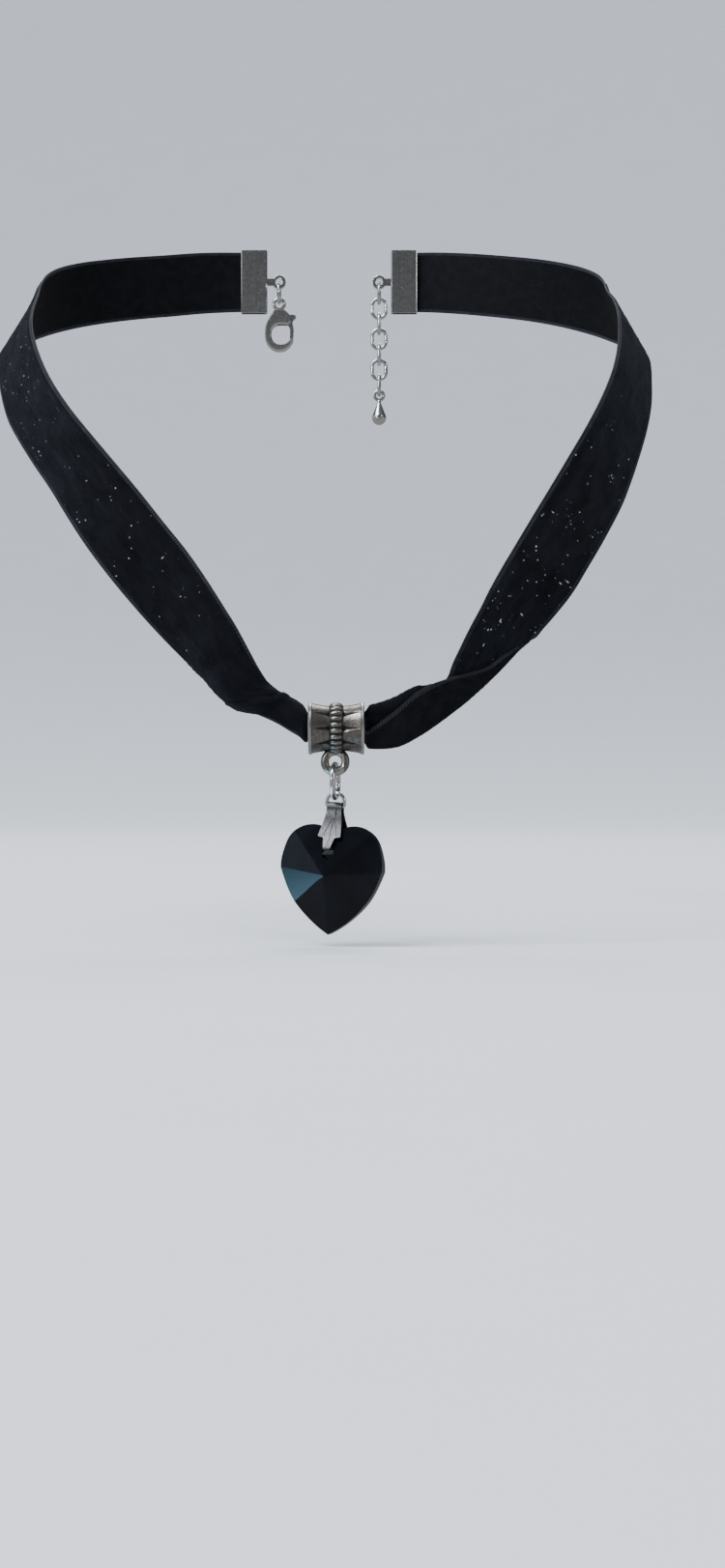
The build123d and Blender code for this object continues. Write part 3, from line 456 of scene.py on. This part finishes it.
def build_ribbon():
    sections, section_at, bail = key_sections()
    rows = row_distances(section_at[-1], bail)
    lengthwise = smooth_curve(sections, section_at, rows).transpose(1, 0, 2)
    section_columns = np.linspace(-HALF_WIDTH, HALF_WIDTH, KEY_POINTS)
    grid = smooth_curve(lengthwise, section_columns, COLUMNS).transpose(1, 0, 2)
    along, across = np.meshgrid(rows - bail, COLUMNS, indexing="ij")

    normals = surface_normals(grid)
    grid = grid + normals * slack_waves(rows, along, across)[..., None]
    grid = grid + normals * crease_dent(grid, normals, along)[..., None]
    verts = thickened(grid, across)
    squeeze_into_tube(verts)

    faces, slots, uv_points = ribbon_faces(*across.shape)
    ribbon = mesh_object("ribbon_velvet", verts * MM, faces)
    uvs = np.stack([along / UV_UNIT, across / UV_UNIT], axis=-1).reshape(-1, 2)[uv_points]
    layer = ribbon.data.uv_layers.new(name="UVMap")
    layer.data.foreach_set("uv", uvs.astype(np.float32).ravel())
    ribbon.data.polygons.foreach_set("material_index", np.array(slots, np.int32))
    return ribbon


# ------------------------------------------------------------------ shader helpers
class Nodes:
    """Short calls that add shader nodes to a tree and return their output sockets."""

    def __init__(self, tree):
        self.tree = tree

    def put(self, socket, value):
        """Link the value if it is a socket, otherwise store it."""
        if hasattr(value, "is_output"):
            self.tree.links.new(value, socket)
        elif socket.type == "RGBA":
            socket.default_value = (*value, 1)
        else:
            socket.default_value = value

    def node(self, kind, inputs=(), **settings):
        node = self.tree.nodes.new("ShaderNode" + kind)
        for name, value in settings.items():
            setattr(node, name, value)
        for name, value in dict(inputs).items():
            self.put(node.inputs[name], value)
        return node

    def math(self, operation, *values, clamp=False):
        node = self.node("Math", enumerate(values), operation=operation, use_clamp=clamp)
        return node.outputs[0]

    def times(self, a, b):
        return self.math("MULTIPLY", a, b)

    def plus(self, a, b):
        return self.math("ADD", a, b)

    def greatest(self, first, *others):
        for other in others:
            first = self.math("MAXIMUM", first, other)
        return first

    def ramp(self, value, span, to=(0.0, 1.0), kind="SMOOTHSTEP"):
        """Map the value from the two ends of span to the two values of to."""
        inputs = {"Value": value, "From Min": span[0], "From Max": span[1],
                  "To Min": to[0], "To Max": to[1]}
        return self.node("MapRange", inputs, interpolation_type=kind).outputs["Result"]

    def mix(self, factor, a, b):
        # sockets 6, 7 and output 2 are the colour ones
        return self.node("Mix", {"Factor": factor, 6: a, 7: b}, data_type="RGBA").outputs[2]

    def mix_shader(self, factor, a, b):
        return self.node("MixShader", {0: factor, 1: a, 2: b}).outputs[0]

    def xyz(self, vector):
        return list(self.node("SeparateXYZ", {0: vector}).outputs)

    def noise(self, vector, scale, detail=4.0, rough=0.55, distort=0.0):
        inputs = {"Vector": vector, "Scale": scale, "Detail": detail,
                  "Roughness": rough, "Distortion": distort}
        return self.node("TexNoise", inputs).outputs["Fac"]

    def wave(self, vector, scale, direction, distort):
        inputs = {"Vector": vector, "Scale": scale, "Distortion": distort, "Detail": 2.0}
        return self.node("TexWave", inputs, bands_direction=direction).outputs["Fac"]

    def openness(self, distance):
        """Ambient occlusion: 1 in the open, less in hollows."""
        return self.node("AmbientOcclusion", {"Distance": distance}, samples=8).outputs["AO"]


class Material(Nodes):
    """A material that holds only its output node."""

    def __init__(self, name):
        self.data = bpy.data.materials.new(name)
        self.data.use_nodes = True
        super().__init__(self.data.node_tree)
        self.tree.nodes.clear()
        self.surface = self.node("OutputMaterial").inputs["Surface"]


class Principled(Material):
    """A material on one Principled shader."""

    def __init__(self, name):
        super().__init__(name)
        self.shader = self.node("BsdfPrincipled")
        self.put(self.surface, self.shader.outputs["BSDF"])
        self.coords = self.node("TexCoord").outputs

    def shade(self, **values):
        for name, value in values.items():
            self.put(self.shader.inputs[name.replace("_", " ")], value)

    def mapped(self, which, scale, turn=0.0):
        scale = scale if isinstance(scale, tuple) else (scale,) * 3
        inputs = {"Scale": scale, "Rotation": (0, 0, turn), "Vector": self.coords[which]}
        return self.node("Mapping", inputs).outputs["Vector"]

    def millimetres(self, stretch=(1.0, 1.0, 1.0)):
        return self.mapped("Object", tuple(1000.0 * k for k in stretch))

    def bump(self, height, distance, strength):
        inputs = {"Strength": strength, "Distance": distance, "Height": height}
        self.shade(Normal=self.node("Bump", inputs).outputs["Normal"])


# ------------------------------------------------------------------ ribbon materials
# Lint layers: cell scale, turn in radians, speck size, share of the cells with a speck.
LINT = [
    ((5.0, 8.0, 1.0), 0.7, 0.13, 0.42),
    ((2.6, 8.0, 1.0), -0.5, 0.11, 0.40),
    ((8.0, 3.0, 1.0), 0.35, 0.12, 0.34),
    ((12.0, 14.0, 1.0), 0.2, 0.19, 0.22),
    ((17.0, 16.0, 1.0), 0.9, 0.22, 0.18),
    ((4.0, 4.6, 1.0), 1.1, 0.085, 0.42),
]


def lint_specks(mat, mm):
    """Small bright specks and short fibres, thickest in a patch on each side of the bail."""
    u = mat.xyz(mat.coords["UV"])[0]
    right = mat.times(mat.ramp(u, span=(1.3, 2.3)), mat.ramp(u, span=(9.5, 6.5)))
    left = mat.times(mat.ramp(u, span=(-3.0, -4.5)), mat.ramp(u, span=(-15.0, -9.0)))
    patch = mat.plus(mat.times(right, 0.80), mat.times(left, 0.50))
    patch = mat.plus(patch, 0.12)
    cluster = mat.noise(mm, scale=0.14, detail=3.0, rough=0.6, distort=0.3)
    cluster = mat.ramp(cluster, span=(0.42, 0.60), to=(0.20, 1.0))
    layers = []
    for scale, turn, size, share in LINT:
        inputs = {"Vector": mat.mapped("UV", scale, turn), "Scale": 1.0}
        cells = mat.node("TexVoronoi", inputs, feature="F1").outputs
        pick, brightness, _ = mat.xyz(cells["Color"])
        likely = mat.times(mat.times(patch, cluster), share)
        speck = mat.ramp(cells["Distance"], span=(size, size * 0.35))
        speck = mat.times(speck, mat.math("LESS_THAN", pick, likely))
        layers.append(mat.times(speck, mat.ramp(brightness, span=(0.0, 1.0), to=(0.22, 1.0))))
    return mat.greatest(*layers)


def velvet():
    mat = Principled("velvet_pile")
    mm = mat.mapped("UV", UV_UNIT)
    fine = mat.noise(mm, scale=6.5, detail=5.0, rough=0.7)
    brushed = mat.mapped("UV", (1.6, 5.0, 1.0))
    brushed = mat.noise(brushed, scale=1.0, rough=0.6, distort=0.4)
    cloud = mat.noise(mm, scale=0.16, detail=3.0, rough=0.6)
    tone = mat.plus(mat.times(fine, 0.55), mat.times(brushed, 0.45))
    dark, light, dusty = (0.0018, 0.0020, 0.0028), (0.0072, 0.0078, 0.0108), (0.0060, 0.0066, 0.0095)
    base = mat.mix(mat.ramp(tone, span=(0.35, 0.72)), dark, light)
    base = mat.mix(mat.ramp(cloud, span=(0.35, 0.75), to=(0.0, 0.5)), base, dusty)
    base = mat.mix(lint_specks(mat, mm), base, (0.60, 0.61, 0.64))
    mat.shade(Base_Color=base, Roughness=0.95, IOR=1.35, Specular_IOR_Level=0.12,
              Sheen_Weight=mat.ramp(tone, span=(0.3, 0.8), to=(0.04, 0.13)),
              Sheen_Roughness=0.45, Sheen_Tint=(0.42, 0.46, 0.58))
    mat.bump(mat.plus(fine, mat.times(brushed, 0.6)), distance=0.00022, strength=0.75)
    return mat.data


def selvedge():
    mat = Principled("velvet_selvedge")
    mm = mat.mapped("UV", UV_UNIT)
    ribs = mat.wave(mm, scale=0.62, direction="X", distort=0.6)
    worn = mat.noise(mm, scale=0.35, rough=0.6)
    base = mat.mix(ribs, (0.004, 0.0045, 0.007), (0.014, 0.015, 0.021))
    worn = mat.ramp(worn, span=(0.45, 0.75), to=(0.0, 0.5))
    base = mat.mix(worn, base, (0.026, 0.028, 0.038))
    mat.shade(Base_Color=base, Roughness=0.70, Specular_IOR_Level=0.25,
              Sheen_Weight=0.10, Sheen_Roughness=0.4, Sheen_Tint=(0.6, 0.65, 0.8))
    mat.bump(ribs, distance=0.00012, strength=0.8)
    return mat.data


def backing():
    mat = Principled("ribbon_backing")
    mm = mat.mapped("UV", UV_UNIT)
    ribs = mat.wave(mm, scale=0.9, direction="Y", distort=0.4)
    weave = mat.wave(mm, scale=1.2, direction="X", distort=0.5)
    soft = mat.noise(mm, scale=0.5, detail=3.0)
    cloth = mat.plus(mat.times(ribs, 0.6), mat.times(weave, 0.4))
    soft = mat.ramp(soft, span=(0.35, 0.7))
    base = mat.mix(soft, (0.0016, 0.0018, 0.0028), (0.0038, 0.0042, 0.0062))
    base = mat.mix(mat.times(cloth, 0.30), base, (0.0070, 0.0078, 0.0115))
    mat.shade(Base_Color=base, Roughness=0.66, Specular_IOR_Level=0.12)
    mat.bump(cloth, distance=0.00006, strength=0.6)
    return mat.data


ribbon = build_ribbon()
for make in (velvet, selvedge, backing):        # in the order of the slots
    ribbon.data.materials.append(make())
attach(ribbon, "ribbon")
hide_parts("velvet_ribbon")


# ------------------------------------------------------------------ metal and glass
def bail_hollows(mat, x, y, z, radius, ax):
    """1 in the bail's recesses, grooves and bore, 0 on its outer surface."""
    # wall radius: 3.66 mm in the middle, growing with x squared up to a limit
    x_squared = mat.math("MINIMUM", mat.times(x, x), 15.8)
    wall = mat.math("MULTIPLY_ADD", x_squared, 0.0316, 3.66)
    ax = ax()
    depth = mat.math("SUBTRACT", wall, radius)
    recess = mat.times(mat.ramp(depth, span=(0.04, 0.20)), mat.ramp(ax, span=(4.10, 3.98)))
    # grooves along the tube, evenly spaced round it: degrees, and the radius they lie at
    pitch, first, groove_radius = 40.0, 38.5, 3.9
    turn = mat.times(mat.math("ARCTAN2", z, mat.times(y, -1.0)), 180.0 / math.pi)
    step = mat.math("MULTIPLY_ADD", turn, 1.0 / pitch, 0.5 - first / pitch)
    step = mat.math("SUBTRACT", mat.math("FRACT", step), 0.5)
    off = mat.times(mat.math("ABSOLUTE", step), pitch * math.pi / 180.0 * groove_radius)
    inside = mat.times(mat.ramp(ax, span=(3.75, 3.40)), mat.ramp(depth, span=(0.005, 0.03)))
    groove = mat.times(mat.ramp(off, span=(0.36, 0.20)), inside)
    recess = mat.greatest(recess, groove)
    middle = mat.times(mat.ramp(radius, span=(4.13, 3.95)), mat.ramp(ax, span=(1.32, 1.08)))
    bore = mat.ramp(radius, span=(3.0, 2.93))
    return mat.greatest(recess, middle, bore), ax


def antique_silver():
    mat = Principled("antique_silver_cast")
    mm = mat.millimetres()
    x, y, z = mat.xyz(mm)
    radius = mat.math("SQRT", mat.plus(mat.times(y, y), mat.times(z, z)))
    dark, ax = bail_hollows(mat, x, y, z, radius, lambda: mat.math("ABSOLUTE", x))
    grime = mat.noise(mm, scale=1.7, detail=5.0, rough=0.65)
    dark = mat.greatest(dark, mat.ramp(mat.openness(0.0009), span=(0.62, 0.22)))
    patchy = mat.ramp(grime, span=(0.15, 0.5), to=(0.78, 1.0))
    dark = mat.math("MULTIPLY", dark, patchy, clamp=True)
    tarnish = mat.ramp(grime, span=(0.38, 0.70), to=(0.0, 0.75))
    base = mat.mix(tarnish, (0.30, 0.282, 0.258), (0.135, 0.122, 0.106))
    # bright on the rims and on the raised parts of the middle band
    rims = mat.ramp(ax, span=(4.02, 4.12))
    band = mat.times(mat.ramp(radius, span=(4.20, 4.34)), mat.ramp(ax, span=(1.32, 1.15)))
    base = mat.mix(mat.greatest(rims, band), base, (0.62, 0.60, 0.57))
    base = mat.mix(dark, base, (0.022, 0.020, 0.019))
    metallic = mat.ramp(dark, span=(0.0, 1.0), to=(1.0, 0.55))
    rough = mat.ramp(grime, span=(0.3, 0.75), to=(0.25, 0.40))
    rough = mat.plus(rough, mat.times(dark, 0.25))
    mat.shade(Base_Color=base, Metallic=metallic, Roughness=rough)
    pits = mat.noise(mm, scale=5.0, detail=3.0)
    dents = mat.times(mat.noise(mm, scale=0.9, detail=2.0), 2.0)
    mat.bump(mat.plus(pits, dents), distance=0.00005, strength=0.55)
    return mat.data


def silver(name, dull, clean, rough, reach=0.0006, hollows=(0.55, 0.2), stretch=None):
    """Plain silver with painted shade in its hollows. reach and hollows set how far off and how open
    a hollow is to darken.
    """
    mat = Principled(name)
    mm = mat.millimetres()
    marks = mat.millimetres(stretch) if stretch else mm
    marks = mat.noise(marks, scale=2.2, detail=5.0, rough=0.62)
    base = mat.mix(mat.ramp(marks, span=(0.33, 0.70)), clean, dull)
    # painted shade: hollows and places between parts, found by ambient occlusion, darken towards
    # near black
    base = mat.mix(mat.ramp(mat.openness(reach), span=hollows), base, (0.05, 0.05, 0.055))
    rough = mat.ramp(marks, span=(0.3, 0.72), to=rough)
    mat.shade(Base_Color=base, Metallic=1.0, Roughness=rough)
    mat.bump(mat.noise(mm, scale=7.0, detail=3.0), distance=0.00002, strength=0.5)
    return mat.data


def jet_glass():
    mat = Principled("jet_glass_polished")
    mm = mat.millimetres()
    depth = mat.noise(mm, scale=0.12, detail=2.0)
    specks = mat.noise(mm, scale=9.0, rough=0.7)
    depth = mat.ramp(depth, span=(0.35, 0.7))
    base = mat.mix(depth, (0.0022, 0.0026, 0.0040), (0.0046, 0.0058, 0.0090))
    rough = mat.ramp(specks, span=(0.4, 0.8), to=(0.025, 0.075))
    mat.shade(Base_Color=base, Roughness=rough, IOR=1.50, Specular_IOR_Level=0.30)
    mat.bump(mat.noise(mm, scale=0.5, detail=2.0), distance=0.00002, strength=0.35)
    return mat.data


def repaint(material, *names):
    for name in names:
        slots = NODES[name].data.materials
        if not slots:
            slots.append(material)
        for k in range(len(slots)):
            slots[k] = material


repaint(antique_silver(), "bail")
repaint(silver("bright_wire", dull=(0.66, 0.66, 0.67), clean=(0.84, 0.84, 0.85),
               rough=(0.12, 0.22)),
        "jump_ring", "pinch_bail_ring", "clasp_jump_ring", "extender_jump_ring",
        *(f"extender_link_{k}" for k in range(1, 7)))
repaint(silver("stamped_sheet", dull=(0.060, 0.060, 0.064), clean=(0.125, 0.125, 0.132),
               rough=(0.32, 0.44), reach=0.0005, hollows=(0.85, 0.35), stretch=(3.0, 3.0, 0.6)),
        "pinch_bail")
repaint(silver("plated_casting", dull=(0.56, 0.55, 0.54), clean=(0.74, 0.73, 0.71),
               rough=(0.17, 0.30), reach=0.0007),
        "left_ribbon_crimp", "right_ribbon_crimp", "lobster_body", "lobster_trigger",
        "lobster_rivet", "extender_drop")
repaint(silver("spring_strip", dull=(0.28, 0.29, 0.32), clean=(0.42, 0.43, 0.46),
               rough=(0.25, 0.4)),
        "lobster_spring")
repaint(jet_glass(), "heart_drop")

# ------------------------------------------------------------------ stage, metres
FLOOR_Z = CAD_BOX[0][2] - 0.002
FLAT_RADIUS = 1.0           # flat middle of the floor
BEND_RADIUS = 1.6           # the floor curves up into a wall
WALL_TOP = 2.1
BEND_STEPS = 16
FLOOR_SEGMENTS = 96


def floor_paper():
    """Pale paper that polished pieces see as a dim room with a bright window side."""
    mat = Principled("studio_floor_paper")
    colour = (0.78, 0.80, 0.83)
    cloud = mat.noise(mat.mapped("Object", 30.0), scale=1.0, detail=3.0)
    darker = tuple(c * 0.985 for c in colour)
    base = mat.mix(mat.ramp(cloud, span=(0.3, 0.7)), colour, darker)
    mat.shade(Base_Color=base, Roughness=0.9, Specular_IOR_Level=0.0)

    low, high, window = (0.34, 0.345, 0.355), (0.05, 0.055, 0.065), (0.50, 0.56, 0.66)
    glossy = mat.node("LightPath").outputs["Is Glossy Ray"]
    x, _, z = mat.xyz(mat.node("NewGeometry").outputs["Position"])
    room = mat.mix(mat.ramp(z, span=(-0.03, 0.7)), low, high)
    room = mat.mix(mat.ramp(x, span=(-0.9, -2.1)), room, window)
    room = mat.mix(mat.ramp(z, span=(1.1, 1.5)), room, high)
    glow = mat.node("Emission", {"Color": room}).outputs[0]
    mat.put(mat.surface, mat.mix_shader(glossy, mat.shader.outputs["BSDF"], glow))
    return mat.data


def build_floor():
    rings = [(0.5, 0.0), (FLAT_RADIUS, 0.0)]            # radius, height
    for k in range(1, BEND_STEPS + 1):
        t = math.pi / 2 * k / BEND_STEPS
        rings.append((FLAT_RADIUS + BEND_RADIUS * math.sin(t), BEND_RADIUS * (1 - math.cos(t))))
    rings.append((FLAT_RADIUS + BEND_RADIUS, WALL_TOP))
    points = [(0.0, 0.0, FLOOR_Z)]
    for radius, height in rings:
        for k in range(FLOOR_SEGMENTS):
            t = 2 * math.pi * k / FLOOR_SEGMENTS
            points.append((radius * math.cos(t), radius * math.sin(t), FLOOR_Z + height))
    around = [(k, (k + 1) % FLOOR_SEGMENTS) for k in range(FLOOR_SEGMENTS)]
    faces = [(0, 1 + a, 1 + b) for a, b in around]
    for ring in range(len(rings) - 1):
        low = 1 + ring * FLOOR_SEGMENTS
        high = low + FLOOR_SEGMENTS
        faces += [(low + a, high + a, high + b, low + b) for a, b in around]
    floor = mesh_object("studio_floor", points, faces)
    floor.data.materials.append(floor_paper())


def card_glow():
    """Blue light, brighter towards +X, seen only by rays that come from close by."""
    mat = Material("reflection_card")
    x = mat.xyz(mat.node("NewGeometry").outputs["Position"])[0]
    strength = mat.ramp(x, span=(-0.060, -0.024), to=(1.1, 7.0), kind="LINEAR")
    glow = mat.node("Emission", {"Color": (0.30, 0.62, 0.85), "Strength": strength}).outputs[0]
    near = mat.math("LESS_THAN", mat.node("LightPath").outputs["Ray Length"], 0.046)
    clear = mat.node("BsdfTransparent").outputs[0]
    mat.put(mat.surface, mat.mix_shader(near, clear, glow))
    return mat.data


def build_card():
    """A coloured card on the floor, left of the drop, that only reflections see."""
    left, right, front, back = -0.34, -0.020, -0.10, 0.14
    outline = [(left, front), (right, front), (right, back), (left, back)]
    points = [(x, y, FLOOR_Z + 0.001) for x, y in outline]
    card = mesh_object("reflection_card", points, [(0, 1, 2, 3)], smooth=False)
    card.data.materials.append(card_glow())
    for ray in ("camera", "diffuse", "shadow", "transmission"):
        setattr(card, "visible_" + ray, False)


def build_world():
    """Pale blue sky, dimmer in reflections."""
    world = bpy.data.worlds.new("studio")
    bpy.context.scene.world = world
    world.use_nodes = True
    sky = Nodes(world.node_tree)
    colour, strength = world.node_tree.nodes["Background"].inputs[:2]
    sky.put(colour, (0.84, 0.90, 1.0))
    glossy = sky.node("LightPath").outputs["Is Glossy Ray"]
    sky.put(strength, sky.math("MULTIPLY_ADD", glossy, -0.72, 0.92))


# Name, place, point it faces, width and height, watts, colour.
SOFTBOXES = [
    ("key_upper_left", (-0.62, -0.50, 1.35), (0, 0.02, 0.02), (0.6, 0.6), 16.0, (0.94, 0.97, 1.0)),
    ("spark_left", (-0.60, -0.62, 0.25), (0, 0.02, 0.0), (0.10, 0.10), 1.6, (1.0, 0.99, 0.97)),
    ("side_left", (-0.95, -0.30, 0.95), (0, 0.02, 0.0), (0.30, 0.6), 6.0, (0.90, 0.95, 1.0)),
    ("fill_right", (1.15, -0.75, 0.60), (0, 0.02, 0.02), (0.5, 0.6), 3.0, (1.0, 0.97, 0.93)),
    ("back_top", (0.10, 0.85, 0.95), (0, 0.05, 0.03), (0.9, 0.5), 7.0, (1.0, 1.0, 1.0)),
]


def add_softbox(name, place, aim, size, watts, colour):
    light = bpy.data.lights.new(name, "AREA")
    light.shape = "RECTANGLE"
    light.size, light.size_y = size
    light.energy = watts
    light.color = colour
    lamp = linked_object(name, light)
    lamp.location = place
    lamp.rotation_euler = (Vector(aim) - Vector(place)).to_track_quat("-Z", "Y").to_euler()


def add_camera():
    """A level camera in front of the bail, looking along +Y."""
    lens = bpy.data.cameras.new("camera")
    lens.sensor_width = 36.0
    lens.lens = 50.15
    lens.clip_start = 0.01
    lens.clip_end = 20.0
    camera = linked_object("camera", lens)
    camera.location = (0.0043, -0.360, -0.00916)
    camera.rotation_euler = (math.radians(90), 0, 0)
    bpy.context.scene.camera = camera


build_floor()
build_card()
build_world()
for softbox in SOFTBOXES:
    add_softbox(*softbox)
add_camera()
